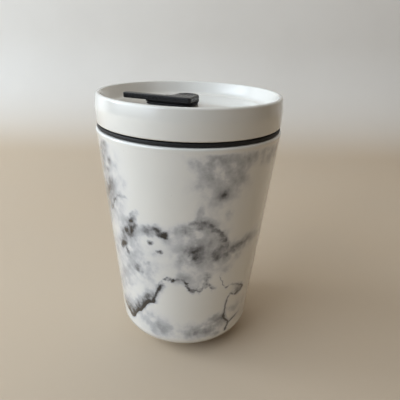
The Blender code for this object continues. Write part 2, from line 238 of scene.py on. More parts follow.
def divided(profile, longest):
    """The profile with its long stretches cut into shorter ones."""
    points = [profile[0]]
    for a, b in zip(profile, profile[1:]):
        parts = max(1, math.ceil(math.dist(a, b) / longest))
        points += [(a[0] + (b[0] - a[0]) * i / parts, a[1] + (b[1] - a[1]) * i / parts)
                   for i in range(1, parts + 1)]
    return points


def turned(name, profile, steps=180, longest=0.004):
    """Spins an (r, z) profile about Z. A profile that reaches the axis starts and ends on it."""
    closed = profile[0][0] > 0
    points = divided(profile + profile[:1], longest)[:-1] if closed else divided(profile, longest)
    shape = bmesh.new()
    rings = []
    for r, z in points:
        if r == 0:
            rings.append([shape.verts.new((0, 0, z))] * steps)
        else:
            rings.append([shape.verts.new((r * math.cos(math.tau * i / steps),
                                           r * math.sin(math.tau * i / steps), z))
                          for i in range(steps)])
    pairs = list(zip(rings, rings[1:]))
    if closed:
        pairs.append((rings[-1], rings[0]))
    for one, two in pairs:
        for i in range(steps):
            j = (i + 1) % steps
            corners = [one[i], one[j], two[j], two[i]]
            distinct = list(dict.fromkeys(corners))
            if len(distinct) > 2:
                shape.faces.new(distinct)
    bmesh.ops.recalc_face_normals(shape, faces=shape.faces)
    return add_piece(name, shape)


def level(outline, height):
    return [(x, y, height) for x, y in outline]


def lofted(name, sections, sharp=35):
    """Joins rings of equally many points and caps the two ends."""
    shape = bmesh.new()
    rings = [[shape.verts.new(point) for point in section] for section in sections]
    for one, two in zip(rings, rings[1:]):
        for i in range(len(one)):
            j = (i + 1) % len(one)
            shape.faces.new((one[i], one[j], two[j], two[i]))
    shape.faces.new(rings[0])
    shape.faces.new(rings[-1])
    bmesh.ops.recalc_face_normals(shape, faces=shape.faces)
    return add_piece(name, shape, sharp)


def quarter_turn(steps=5):
    """Pairs (1 - sin, 1 - cos) from 0 to 90 degrees, for rounding an edge."""
    angles = [math.pi / 2 * i / steps for i in range(steps + 1)]
    return [(1 - math.sin(a), 1 - math.cos(a)) for a in angles]


def soft_slab(name, outline, z_range, top_round, bottom_round, softer=lambda x, y: 1.0):
    """A slab with rounded edges, whose radii are multiplied by softer(x, y) at each point."""
    outline = anticlockwise(outline)
    bottom, top = z_range
    factors = [softer(x, y) for x, y in outline]
    sections = []
    for left, passed in quarter_turn() if bottom_round else [(1, 0)]:
        radii = [bottom_round * factor for factor in factors]
        ring_points = inset(outline, [radius * left for radius in radii])
        sections.append([(x, y, bottom + radius * passed) for (x, y), radius in zip(ring_points, radii)])
    for left, passed in quarter_turn() if top_round else [(0, 0)]:
        radii = [top_round * factor for factor in factors]
        ring_points = inset(outline, [radius * passed for radius in radii])
        sections.append([(x, y, top - radius * left) for (x, y), radius in zip(ring_points, radii)])
    return lofted(name, sections)


def combine(piece, tool, operation):
    """Joins or cuts with a helper, then throws the helper away."""
    modifier = piece.modifiers.new(tool.name, "BOOLEAN")
    modifier.operation = operation
    modifier.object = tool
    modifier.solver = "EXACT"
    bpy.context.view_layer.update()
    result = bpy.data.meshes.new_from_object(piece.evaluated_get(bpy.context.evaluated_depsgraph_get()))
    piece.modifiers.clear()
    piece.data = result
    bpy.data.objects.remove(tool)


def smooth_shade(piece, sharp=35):
    piece.data.shade_smooth()
    piece.data.set_sharp_from_angle(angle=math.radians(sharp))


def to_lid_frame(piece):
    """Moves a mesh that was drawn in the shutter's frame into the lid's frame."""
    turn = Matrix.Rotation(ARM_ANGLE, 4, "Z")
    piece.data.transform(Matrix.Translation((*PIVOT, 0)) @ turn)
    return piece


def hand_finished(piece, amount, grain=0.022):
    """Cast and hand-finished porcelain is never a perfect round: a slow, faint waver."""
    for vertex in piece.data.vertices:
        flat = Vector((vertex.co.x, vertex.co.y, 0))
        if flat.length > 0.01:
            sway = noise.noise(vertex.co / grain)
            vertex.co += flat.normalized() * sway * amount


# ---- material nodes ----------------------------------------------------------------------

class Graph:
    """A node tree, with short ways to add to it."""

    def __init__(self, tree):
        self.tree = tree

    def feed(self, socket, value):
        if isinstance(value, bpy.types.NodeSocket):
            self.tree.links.new(value, socket)
        elif socket.type == "RGBA" and len(value) == 3:
            socket.default_value = (*value, 1)
        else:
            socket.default_value = value

    def node(self, kind, inputs=None, **settings):
        node = self.tree.nodes.new(kind)
        for name, value in settings.items():
            setattr(node, name, value)
        for name, value in (inputs or {}).items():
            self.feed(node.inputs[name], value)
        return node

    def math(self, operation, a, b=0.0, c=0.0, clamp=False):
        node = self.node("ShaderNodeMath", operation=operation, use_clamp=clamp)
        for socket, value in zip(node.inputs, (a, b, c)):
            self.feed(socket, value)
        return node.outputs[0]

    def vector(self, operation, a, b=(0, 0, 0), scale=1.0):
        node = self.node("ShaderNodeVectorMath", {0: a, 1: b}, operation=operation)
        if operation == "SCALE":
            self.feed(node.inputs["Scale"], scale)
        return node.outputs["Value" if operation in ("LENGTH", "DOT_PRODUCT") else "Vector"]

    def span(self, value, from_low, from_high, to_low=0.0, to_high=1.0, soft=False):
        node = self.node("ShaderNodeMapRange", {
            "Value": value, "From Min": from_low, "From Max": from_high,
            "To Min": to_low, "To Max": to_high,
        }, interpolation_type="SMOOTHSTEP" if soft else "LINEAR")
        return node.outputs["Result"]


class Surface(Graph):
    """One material and the nodes in it."""

    def __init__(self, name):
        self.material = bpy.data.materials.new(name)
        self.material.use_nodes = True
        super().__init__(self.material.node_tree)
        self.shader = self.tree.nodes["Principled BSDF"]
        self.metres = self.node("ShaderNodeTexCoord").outputs["Object"]
        self.place = self.vector("SCALE", self.metres, scale=1000)      # millimetres

    def cloud(self, scale, detail=4.0, rough=0.55, place=None, colour=False):
        """Fractal noise whose scale is in features per millimetre."""
        node = self.node("ShaderNodeTexNoise", {
            "Vector": place or self.place, "Scale": scale, "Detail": detail, "Roughness": rough,
        })
        return node.outputs["Color" if colour else "Fac"]

    def specks(self, scale, size, place=None):
        """Small round specks, 1 inside and 0 outside, one or none in each cell."""
        cells = self.node("ShaderNodeTexVoronoi", {"Vector": place or self.place, "Scale": scale})
        chosen = self.math("GREATER_THAN", self.node(
            "ShaderNodeSeparateColor", {"Color": cells.outputs["Color"]}).outputs[0], 0.72)
        return self.math("MULTIPLY", chosen, self.span(cells.outputs["Distance"], 0, size, 1, 0, True))

    def ramp(self, value, stops):
        node = self.node("ShaderNodeValToRGB", {"Fac": value})
        elements = node.color_ramp.elements
        while len(elements) < len(stops):
            elements.new(0.5)
        for element, (position, colour) in zip(elements, stops):
            element.position = position
            element.color = (*colour, 1)
        return node.outputs["Color"]

    def mix(self, amount, a, b, blend="MIX"):
        node = self.node("ShaderNodeMix", data_type="RGBA", blend_type=blend)
        self.feed(node.inputs["Factor"], amount)
        self.feed(node.inputs[6], a)
        self.feed(node.inputs[7], b)
        return node.outputs[2]

    def bump(self, *layers):
        """Adds (height, depth in metres) layers of relief to the surface."""
        normal = None
        for height, depth in layers:
            inputs = {"Height": height, "Distance": depth}
            if normal:
                inputs["Normal"] = normal
            normal = self.node("ShaderNodeBump", inputs).outputs["Normal"]
        self.feed(self.shader.inputs["Normal"], normal)

    def look(self, **sockets):
        """Sets the shader's sockets by name: base_color=..., roughness=..., coat_ior=..."""
        for key, value in sockets.items():
            self.feed(self.shader.inputs[key.replace("_", " ").title().replace("Ior", "IOR")], value)
        return self.material

    def curve(self, value, points, bottom, top):
        """A smooth curve through (x, y) points whose y lies between bottom and top."""
        first, last = points[0][0], points[-1][0]
        node = self.node("ShaderNodeFloatCurve", {"Value": self.span(value, first, last)})
        spots = [((x - first) / (last - first), (y - bottom) / (top - bottom)) for x, y in points]
        line = node.mapping.curves[0]
        line.points[0].location = spots[0]
        line.points[1].location = spots[-1]
        for spot in spots[1:-1]:
            line.points.new(*spot)
        node.mapping.update()
        return self.span(node.outputs[0], 0, 1, bottom, top)


# ---- marbling ----------------------------------------------------------------------------
# Places on the cup's side: degrees round from the front (towards +X), and height in mm.

ARC_MM = 0.65               # millimetres of side for each degree

# Wide, faint clouds: angle, height, half length, half width, tilt in degrees, strength
HAZE = [
    # High, right of the middle
    (15, 97, 12, 10, 0, 0.20), (31, 100, 11, 8, 0, 0.16), (60, 101, 12, 5, -8, 0.34),
    (5, 103, 7, 4, 0, 0.20), (20, 88, 12, 12, 0, 0.16),
    # High, left of the middle
    (-57, 92, 10, 15, 0, 0.32),
    # Half way up, right of the middle
    (10, 66, 12, 10, 0, 0.34), (38, 61, 10, 5, 10, 0.26), (2, 56, 12, 7, 0, 0.20),
    (28, 54, 10, 8, 0, 0.16),
    # Half way up, left of the middle
    (-40, 68, 6, 6, 0, 0.24), (-47, 57, 6, 5, 0, 0.22), (-19, 70, 7, 3.5, 0, 0.26),
    (-62, 76, 11, 8, 15, 0.38), (-40, 58, 14, 14, 0, 0.20),
    # Low, right of the middle
    (8, 15, 9, 6, 0, 0.34), (25, 18, 7, 6, 0, 0.42), (45, 35.4, 4.6, 2.6, -10, 0.50),
    (1, 47.5, 7, 5, 0, 0.24), (52, 22, 9, 7, 0, 0.22),
    # Low, left of the middle
    (-20, 14, 10, 6, 0, 0.20), (-30, 46, 10, 7, 0, 0.16), (-54, 36, 9, 13, 0, 0.30),
    (-24, 19, 12, 7, 0, 0.20),
    # Round the back
    (-75, 60, 9, 12, 0, 0.28), (68, 60, 12, 7, -12, 0.26), (-98, 84, 14, 13, 30, 0.26),
    (-88, 36, 12, 9, -30, 0.26), (104, 78, 15, 10, -30, 0.26), (92, 34, 12, 10, 0, 0.24),
    (140, 56, 14, 12, 30, 0.22), (-136, 50, 14, 12, 30, 0.22),
]

# Denser smoke, in the same form
SMOKE = [
    # High, right of the middle
    (21, 88, 2.1, 1.9, 20, 0.38), (20.4, 87.6, 4.8, 3.4, 0, 0.20), (18.6, 103.2, 2.2, 1.9, 0, 0.42),
    (9.6, 99.6, 1.5, 2.2, 0, 0.38), (12.4, 103, 1.6, 2, 0, 0.30), (13.6, 95, 2.4, 1.9, 0, 0.24),
    (37, 102.8, 3.6, 2, 0, 0.28), (34, 93, 3.6, 1.5, -10, 0.12),
    # High, left of the middle
    (-58, 103.4, 2.2, 3.4, 0, 0.62), (-63, 96, 2.3, 4.0, 0, 0.58), (-52.4, 97, 1.6, 1.3, 0, 0.60),
    (-56, 92.6, 1.4, 1.0, 20, 0.46), (-39, 88, 3.2, 1.8, -40, 0.22),
    # Half way up, right of the middle
    (24.6, 66.4, 3.4, 1.9, -72, 0.46), (22, 62.4, 3.0, 1.8, 30, 0.36), (18.6, 58, 2.4, 1.9, -60, 0.52),
    (24.6, 57.5, 2.6, 1.8, 0, 0.40), (33, 60.5, 4.6, 1.6, 8, 0.50), (41, 62, 4.8, 1.8, 12, 0.40),
    (5.4, 61.8, 2.8, 1.9, 0, 0.70), (6.0, 58.2, 2.3, 2.5, 0, 0.70), (4.5, 66, 1.8, 4.2, 0, 0.36),
    (-2.2, 57.4, 1.7, 1.6, 0, 0.42), (-4, 72.8, 3.8, 2.1, 10, 0.42), (-0.5, 71.4, 1.6, 1.6, 0, 0.44),
    (7.6, 80.2, 1.3, 3.0, 0, 0.46), (26, 79, 1.5, 2.2, 0, 0.26),
    # Half way up, left of the middle
    (-47.4, 65, 1.6, 1.2, -20, 0.44), (-27, 52.7, 1.9, 0.9, 15, 0.36),
    (-21.5, 58.8, 2.1, 1.2, 20, 0.26), (-25, 69.8, 2.4, 1.8, 0, 0.60),
    (-21.6, 71.6, 2.6, 1.4, 10, 0.50), (-12.4, 66.4, 1.8, 1.6, 0, 0.30),
    (-37, 73.6, 1.4, 3.2, -32, 0.62), (-34.2, 75.6, 1.2, 3.0, -36, 0.56),
    (-40, 66.8, 4.0, 3.2, 20, 0.44), (-46, 61.8, 1.6, 2.4, -30, 0.34),
    # Low, right of the middle
    (28.6, 21.8, 3.0, 2.0, -25, 0.48), (22, 16.8, 2.6, 2.0, 0, 0.36), (27, 11, 2.2, 1.5, 0, 0.50),
    (8.4, 15, 3.0, 2.4, 0, 0.36), (41, 24, 3.0, 1.4, -25, 0.34), (29.6, 50, 2.4, 1.6, 0, 0.20),
    # Low, left of the middle
    (-36.5, 48.6, 2.3, 1.8, -20, 0.66), (-34.4, 46.8, 1.7, 1.2, -30, 0.36),
    (-43, 47, 2.0, 1.4, 0, 0.20), (-59, 51, 1.5, 3.2, 0, 0.34), (-29, 22.6, 2.2, 1.6, 0, 0.26),
    (-36.4, 19.6, 1.8, 1.4, 0, 0.30),
    # Round the back
    (76, 88, 3.4, 2.0, 30, 0.40), (72, 57, 3.6, 2.0, 0, 0.36), (-80, 66, 3.0, 2.0, 30, 0.40),
]

# Ink: dark cores and spots, in the same form
INK = [
    # High, right of the middle
    (21, 87.9, 0.9, 0.8, 0, 0.34),
    # Half way up, right of the middle
    (5.8, 58.2, 1.1, 1.0, 0, 0.40), (5.2, 62, 1.0, 0.8, 0, 0.36),
    # Half way up, left of the middle
    (-15.4, 68.7, 1.9, 1.0, -14, 1.35), (-13.4, 69.4, 1.3, 1.1, 20, 1.15),
    (-17.6, 70.9, 1.8, 1.0, -24, 0.85), (-42.6, 67.0, 1.2, 1.5, -20, 1.05),
    (-38.1, 68.0, 1.1, 1.7, -10, 1.00), (-40.3, 64.9, 1.8, 1.0, 0, 0.62),
    (-34.9, 70.6, 1.0, 1.5, -20, 0.72), (-37.4, 72.6, 1.3, 0.8, 40, 0.55),
    (-50.2, 56.9, 1.0, 2.0, -34, 0.80), (-46.8, 58.7, 2.0, 0.9, 25, 0.80),
    (-45.0, 55.7, 1.0, 1.7, 20, 0.74), (-23.7, 64.2, 1.05, 0.85, 20, 1.20),
    (-17.3, 60.5, 1.2, 0.66, -6, 1.10),
    # Low, right of the middle
    (0.7, 45.2, 1.1, 0.5, 12, 0.85), (33.2, 21.2, 0.65, 1.6, 28, 1.35), (44, 32.8, 0.8, 0.6, 0, 0.70),
    (49.6, 35, 0.6, 1.0, 0, 0.50), (37.1, 12.2, 1.0, 1.0, 0, 0.90), (39, 15.6, 1.3, 1.0, 0, 0.85),
    # Low, left of the middle
    (-14.4, 46.5, 1.0, 0.46, 14, 0.90), (-8.7, 45.9, 0.5, 1.1, -32, 0.85),
]

# Veins: which way the line runs, its points as (angle, height, strength), and how far the ink
# reaches past it in mm, on the side of larger values and on the side of smaller ones.
WEDGE = [(-66, 20.6, 0), (-60, 18.6, 0.45), (-55, 16.8, 0.8), (-50, 15.5, 1), (-46, 17.0, 1),
         (-43, 20.3, 1), (-40, 22.2, 0.9), (-37, 23.5, 0.9), (-33, 26.9, 1), (-30, 29.7, 1),
         (-27.5, 30.8, 0.8), (-25.2, 31.2, 0.6), (-23.6, 31.6, 0)]
RISER = [(-25.2, 30.4, 0), (-24.6, 31.4, 0.9), (-23.6, 34, 0.85), (-21.6, 37, 0.9),
         (-19.2, 40.4, 1), (-18.0, 41.8, 0.95), (-16.6, 43.2, 0.3), (-14.6, 44.6, 0)]
DARK_VEINS = [
    ("angle", WEDGE, 1.7, 0.7),
    ("height", RISER, 1.0, 0.9),
    ("height", [(36.4, 10.6, 0), (37.0, 12, 0.8), (38.2, 14, 0.8), (38.8, 15.4, 0.9), (36.4, 17.8, 0.8),
                (34.0, 19.8, 1), (32.6, 21.8, 1), (32.8, 24, 0.65), (33.2, 27, 0.55),
                (33.4, 30, 0.55), (34.8, 32.4, 0.5), (36.4, 33.8, 0)], 0.6, 0.6),
    ("angle", [(36.5, 15, 0), (38, 15.2, 0.3), (41, 16, 0.6), (45, 16.9, 0.45), (50, 17.8, 0.2),
               (55, 18.6, 0)], 0.7, 0.6),
]
GREY_VEINS = [
    ("angle", [(-0.8, 44.4, 0), (0.6, 43.2, 0.6), (2, 41.7, 0.8), (5, 40.5, 1), (8, 40.7, 1),
               (10.4, 40.4, 0.8), (13, 42, 0.6), (16, 42.6, 0.6), (18, 41.5, 0.7), (21, 40.4, 0.4),
               (25, 41.4, 0)], 1.4, 0.9),
    ("height", [(14.0, 40.6, 0), (14.2, 42, 0.4), (14.6, 45, 0.6), (15, 48, 0.45),
                (14.2, 50.6, 0)], 1.3, 1.3),
    ("angle", [(24.8, 47, 0), (26, 45.2, 0.5), (28, 42.2, 0.45), (30, 40.2, 0.6), (32, 39.5, 0.7),
               (34, 40.2, 0.3), (38, 39.7, 0.35), (42, 38.7, 0.6), (45, 37.5, 0.8), (48, 36.7, 0.8),
               (50.4, 35.0, 0.7), (52.4, 33.6, 0)], 0.7, 0.7),
    ("angle", [(33.6, 32.2, 0), (35.2, 33.5, 0.5), (37, 34.1, 0.65), (40, 32.9, 0.6), (43.6, 32.6, 0.9),
               (47, 33.0, 0.75), (50, 34.0, 0.7), (52, 35.4, 0)], 0.7, 0.6),
    ("angle", [(0, 74.6, 0), (4, 75.9, 0.4), (8, 75.6, 0.48), (13, 74.9, 0.48), (18, 72.2, 0.5),
               (22, 69.6, 0.40), (26, 66.4, 0.3), (29, 63, 0)], 1.4, 3.6),
    ("angle", [(-70, 77.6, 0), (-66, 79, 0.2), (-62, 81, 0.3), (-58, 83.5, 0.32), (-54, 86.4, 0.3),
               (-50, 88.6, 0)], 3.2, 2.4),
    ("angle", [(-60, 72.6, 0), (-57.4, 74.2, 0.44), (-54.5, 77.2, 0.38), (-51, 80.1, 0.34),
               (-46, 82.4, 0.30), (-41, 82.9, 0.26), (-36, 81.4, 0)], 0.9, 0.7),
    ("angle", [(-20, 42.0, 0), (-17, 44.6, 0.5), (-13, 46.4, 0.55), (-9, 46.0, 0.55), (-5, 46.7, 0.45),
               (-1, 45.8, 0.55), (1, 44.2, 0.5), (3, 42, 0)], 1.0, 1.0),
]


def blots(g, place, entries, core, rim):
    """The sum of soft ellipses that fade between core and rim, in half lengths from their middles."""
    tilted = {}
    total = 0.0
    for angle, height, length, width, tilt, strength in entries:
        turn = math.radians(round(tilt / 15) * 15)      # few tilts, so that they are shared
        along = Vector((math.cos(turn), math.sin(turn), 0))
        across = Vector((-along.y, along.x, 0))
        if turn not in tilted:
            tilted[turn] = g.node("ShaderNodeCombineXYZ", {
                0: g.vector("DOT_PRODUCT", place, along), 1: g.vector("DOT_PRODUCT", place, across),
            }).outputs[0]
        centre = Vector((angle * ARC_MM, height, 0))
        size = (1 / length, 1 / width, 0)
        shift = (-centre.dot(along) / length, -centre.dot(across) / width, 0)
        local = g.node("ShaderNodeVectorMath", {0: tilted[turn], 1: size, 2: shift},
                       operation="MULTIPLY_ADD").outputs["Vector"]
        soft = g.span(g.vector("LENGTH", local), core, rim, strength, 0, soft=True)
        total = g.math("ADD", total, soft)
    return total


def veins(g, place, entries, halo):
    """The strongest of several lines at each point, each with a faint halo round its core."""
    axes = g.node("ShaderNodeSeparateXYZ", {"Vector": place})
    total = 0.0
    for way, points, larger, smaller in entries:
        spots = [(angle * ARC_MM, height, strength) for angle, height, strength in points]
        run, cross = axes.outputs[0], axes.outputs[1]
        if way == "height":
            spots = [(height, across, strength) for across, height, strength in spots]
            run, cross = cross, run
        values = [y for _, y, _ in spots]
        line = g.curve(run, [(x, y) for x, y, _ in spots], min(values) - 1, max(values) + 1)
        weight = g.curve(run, [(x, s) for x, _, s in spots], 0, 1)
        offset = g.math("SUBTRACT", cross, line)
        past = g.math("GREATER_THAN", offset, 0)
        reach = g.math("MULTIPLY_ADD", past, larger - smaller, smaller)
        away = g.math("DIVIDE", g.math("ABSOLUTE", offset), reach)
        fade = g.math("POWER", g.span(away, 0, 5, 1, 0), 2.0)
        shade = g.math("MULTIPLY_ADD", fade, halo, g.span(away, 0, 1.4, 1 - halo, 0, True))
        total = g.math("MAXIMUM", total, g.math("MULTIPLY", weight, shade))
    return total


def far_side(g, turn, loose, wisp):
    """Free marbling for the side away from the front: lines where a slow noise crosses its middle."""
    total = 0.0
    for scale, shift, width, strength in ((0.020, 0, 0.016, 1.0), (0.034, 40, 0.012, 0.7)):
        where = g.vector("ADD", g.vector("ADD", g.place, (shift, 2 * shift, 3 * shift)), loose)
        crossing = g.math("ABSOLUTE", g.math("SUBTRACT", g.cloud(scale, 4, 0.5, where), 0.5))
        presence = g.span(g.cloud(scale * 2.2, 2, 0.5, where), 0.44, 0.60, 0, strength, soft=True)
        line = g.span(crossing, 0, width, 0.85, 0, soft=True)
        halo = g.math("MULTIPLY", g.span(crossing, 0, width * 5.5, 0.55, 0, soft=True), wisp)
        total = g.math("ADD", total, g.math("MULTIPLY", presence, g.math("ADD", line, halo)))
    edge = g.span(g.math("ABSOLUTE", turn), 64 * ARC_MM, 84 * ARC_MM, soft=True)
    return g.math("MULTIPLY", edge, g.math("MULTIPLY", total, g.math("MULTIPLY_ADD", wisp, 0.7, 0.35)))


def marbling(g):
    """How much ink lies under the glaze, 0 to 1."""
    axes = g.node("ShaderNodeSeparateXYZ", {"Vector": g.place})
    away = g.math("MULTIPLY", axes.outputs[1], -1)
    turn = g.math("MULTIPLY", g.math("ARCTAN2", axes.outputs[0], away), math.degrees(1) * ARC_MM)
    side = g.node("ShaderNodeCombineXYZ", {0: turn, 1: axes.outputs[2]}).outputs[0]
    centred = (-0.5, -0.5, -0.5)
    slow = g.vector("SCALE", g.vector("ADD", g.cloud(0.13, 2, colour=True), centred), scale=2.2)
    quick = g.vector("SCALE", g.vector("ADD", g.cloud(0.50, 3, 0.55, colour=True), centred), scale=2.6)
    steady = g.vector("ADD", side, g.vector("SCALE", quick, scale=0.5))
    near = g.vector("ADD", side, quick)
    loose = g.vector("ADD", near, slow)

    billow = g.span(g.cloud(0.15, 5, 0.55), 0.34, 0.66)
    wisp = g.span(g.cloud(0.36, 5, 0.55), 0.32, 0.66)
    haze = g.math("MULTIPLY", blots(g, loose, HAZE, 0.0, 1.7), g.math("MULTIPLY_ADD", billow, 1.0, 0.22))
    smoke = g.math("MULTIPLY", blots(g, near, SMOKE, 0.0, 2.1), g.math("MULTIPLY_ADD", wisp, 0.50, 0.16))
    grey = g.math("MULTIPLY", veins(g, near, GREY_VEINS, 0.40), g.math("MULTIPLY_ADD", wisp, 0.95, 0.26))
    tail = g.math("MULTIPLY", veins(g, steady, [("angle", WEDGE, 9.0, 0.8)], 0.0),
                  g.math("MULTIPLY_ADD", wisp, 0.50, 0.30))
    dark = g.math("MULTIPLY", veins(g, steady, DARK_VEINS, 0.4), g.math("MULTIPLY_ADD", wisp, 0.70, 0.72))
    ink = g.math("MULTIPLY", blots(g, near, INK, 0.0, 1.9), g.math("MULTIPLY_ADD", wisp, 0.5, 0.40))
    soft = g.math("ADD", g.math("ADD", haze, smoke), g.math("ADD", grey, tail))
    sharp = g.math("ADD", g.math("MAXIMUM", dark, ink), far_side(g, turn, g.vector("ADD", quick, slow), wisp))
    total = g.math("ADD", soft, sharp)
    height = axes.outputs[2]
    printed = g.math("MULTIPLY", g.span(height, 2.5, 6.0, soft=True), g.span(height, 106.6, 104.4, soft=True))
    return g.math("MULTIPLY", total, printed, clamp=True)


# ---- materials ---------------------------------------------------------------------------

WHITE = (0.800, 0.790, 0.745)


def glaze_relief(g):
    return (g.cloud(0.16, 2), 0.00004), (g.cloud(1.1, 2), 0.000005)


def white_ware(g):
    """Glazed white body: a slow drift of tone and a few iron specks."""
    drift = g.span(g.cloud(0.035, 3), 0.35, 0.65)
    body = g.mix(drift, WHITE, tuple(c * f for c, f in zip(WHITE, (0.965, 0.968, 0.972))))
    return g.mix(g.math("MULTIPLY", g.specks(0.16, 0.045), 0.35), body, (0.22, 0.19, 0.15))


def bare_below(g, height_mm):
    """1 on the unglazed foot that the piece was fired on, 0 above it."""
    z = g.node("ShaderNodeSeparateXYZ", {"Vector": g.place}).outputs[2]
    edge = g.math("MULTIPLY_ADD", g.cloud(0.5, 3), 0.25, z)
    return g.span(edge, height_mm - 0.08, height_mm + 0.08, 1, 0)


def porcelain(name, bare=None, decorated=False):
    g = Surface(name)
    colour = white_ware(g)
    if decorated:
        ink = marbling(g)
        print_colour = g.ramp(ink, [
            (0.00, (0.80, 0.80, 0.80)), (0.22, (0.545, 0.553, 0.565)), (0.50, (0.235, 0.240, 0.252)),
            (0.78, (0.065, 0.067, 0.072)), (1.00, (0.012, 0.012, 0.013)),
        ])
        colour = g.mix(g.span(ink, 0.0, 0.2), colour, print_colour)
    rough = g.span(g.cloud(0.4, 4), 0.3, 0.7, 0.07, 0.12)
    if bare is not None:
        mask = bare_below(g, bare)
        grain = g.cloud(6.0, 3)
        biscuit = g.mix(g.span(grain, 0.3, 0.7), (0.66, 0.63, 0.57), (0.78, 0.76, 0.71))
        scuffs = g.math("MULTIPLY", g.span(g.cloud(0.8, 5), 0.52, 0.68), 0.5)
        scuffed = g.mix(scuffs, biscuit, (0.36, 0.35, 0.33))
        colour = g.mix(mask, colour, scuffed)
        rough = g.math("MULTIPLY_ADD", mask, 0.55, rough)
    g.bump(*glaze_relief(g))
    return g.look(base_color=colour, roughness=rough, specular_ior_level=0.25,
                  coat_weight=1.0, coat_roughness=0.03, coat_ior=1.56)


def silicone(name, dark, light, dust=0.10):
    g = Surface(name)
    tone = g.mix(g.span(g.cloud(0.9, 5), 0.3, 0.7), dark, light)
    lint = g.math("MULTIPLY", g.specks(1.3, 0.10), dust)
    colour = g.mix(lint, tone, (0.45, 0.44, 0.42))
    rough = g.span(g.cloud(2.4, 3), 0.3, 0.7, 0.42, 0.60)
    g.bump((g.cloud(3.5, 3), 0.00002), (g.cloud(0.5, 2), 0.00003))
    return g.look(base_color=colour, roughness=rough, specular_ior_level=0.3)


def moulded(name, dark, light, shine=(0.30, 0.44), painted_shade_below_z=None):
    """Injection-moulded plastic with a fine texture and rubbed edges. Below the given height it is painted
    blacker: painted shade under the lever's overhang.
    """
    g = Surface(name)
    tone = g.mix(g.span(g.cloud(0.7, 4), 0.3, 0.7), dark, light)
    edge = g.span(g.node("ShaderNodeNewGeometry").outputs["Pointiness"], 0.53, 0.60)
    rubbed = g.math("MULTIPLY", edge, g.span(g.cloud(0.6, 4), 0.4, 0.65, 0.1, 0.45))
    pale = tuple(min(1, c * 1.9 + 0.02) for c in light)
    colour = g.mix(rubbed, tone, pale)
    rough = g.span(g.cloud(1.6, 4), 0.3, 0.7, *shine)
    # Painted shade: below this height the foot, which sits under the overhanging lever, is darkened.
    if painted_shade_below_z is not None:
        z = g.node("ShaderNodeSeparateXYZ", {"Vector": g.place}).outputs[2]
        below = g.span(z, painted_shade_below_z - 0.05, painted_shade_below_z, 1, 0)
        colour = g.mix(below, colour, tuple(c * 0.3 for c in dark))
        rough = g.math("MULTIPLY_ADD", below, 0.3, rough)
    g.bump((g.cloud(7.0, 2), 0.00001), (g.cloud(0.8, 2), 0.00002))
    return g.look(base_color=colour, roughness=rough, specular_ior_level=0.16)


def steel(name):
    """Turned stainless steel: fine rings about each piece's own axis through the pivot."""
    g = Surface(name)
    centred = g.vector("SUBTRACT", g.place, (PIVOT.x * 1000, PIVOT.y * 1000, 0))
    flat = g.vector("MULTIPLY", centred, (1, 1, 0))
    rings = g.node("ShaderNodeTexNoise", {"W": g.vector("LENGTH", flat), "Scale": 22.0, "Detail": 2.0},
                   noise_dimensions="1D").outputs["Fac"]
    colour = g.mix(g.span(rings, 0.3, 0.7), (0.50, 0.50, 0.49), (0.66, 0.66, 0.65))
    g.bump((rings, 0.00001))
    return g.look(base_color=colour, roughness=g.span(rings, 0.3, 0.7, 0.2, 0.34), metallic=1.0)


# ---- cup ---------------------------------------------------------------------------------

def on(line, z):
    """Radius of a straight tapered wall at a height."""
    return line[0] + line[1] * z


def foot_curve():
    """A quarter of an ellipse from the side towards the base, cut off at the foot ring."""
    width, height = FOOT_CURVE
    centre = on(SIDE, height) - width
    last = math.acos((FOOT_RING[1] + 0.0004 - centre) / width)
    steps = 28
    angles = [last * i / steps for i in range(steps + 1)]
    return [(centre + width * math.cos(a), height * (1 - math.sin(a))) for a in angles]


def add_outer_wall():
    top = LIP_BOTTOM - HAIRLINE
    profile = rounded([
        (on(SIDE, top), top),
        *foot_curve(),
        (FOOT_RING[1], 0.0),
        (FOOT_RING[0], 0.0, 0.0004),
        (FOOT_RING[0] - 0.0006, FOOT_RECESS, 0.0008),
        (VENT_RADIUS, FOOT_RECESS, 0.0003),
        (VENT_RADIUS, OUTER_FLOOR, 0.0003),
        (on(SHELL_INSIDE, OUTER_FLOOR), OUTER_FLOOR, 0.0110),
        (on(SHELL_INSIDE, top), top),
    ])
    wall = turned("outer_wall", profile, steps=TURNED_STEPS)
    hand_finished(wall, 0.00006)
    wall.data.materials.append(porcelain("marbled porcelain", bare=0.30, decorated=True))
    return wall


def add_liner():
    profile = rounded([
        (0.0, LINER_BOTTOM),
        (on(LINER_OUTSIDE, LINER_BOTTOM), LINER_BOTTOM, 0.0125),
        (on(LINER_OUTSIDE, LIP_BOTTOM), LIP_BOTTOM, 0.0004),
        (on(SIDE, LIP_BOTTOM), LIP_BOTTOM),
        (on(SIDE, RIM_HEIGHT), RIM_HEIGHT, 0.0010),
        (on(LINER_INSIDE, RIM_HEIGHT), RIM_HEIGHT, 0.0010),
        (on(LINER_INSIDE, LINER_FLOOR), LINER_FLOOR, 0.0105),
        (0.0, LINER_FLOOR),
    ])
    liner = turned("liner", profile, steps=TURNED_STEPS)
    hand_finished(liner, 0.00006)
    liner.data.materials.append(porcelain("white porcelain liner"))
    return liner


# ---- lid ---------------------------------------------------------------------------------

def flared_hole(outline_at, z_range, lip):
    """A cutter that opens out at both faces, so that the glazed edge of its hole is round."""
    bottom, top = z_range
    clear = 0.0030
    sections = [level(outline_at(lip), bottom - clear)]
    sections += [level(outline_at(lip * left), bottom + lip * passed) for left, passed in quarter_turn()]
    sections += [level(outline_at(lip * passed), top - lip * left) for left, passed in quarter_turn()]
    sections.append(level(outline_at(lip), top + clear))
    return to_lid_frame(lofted("hole", sections))


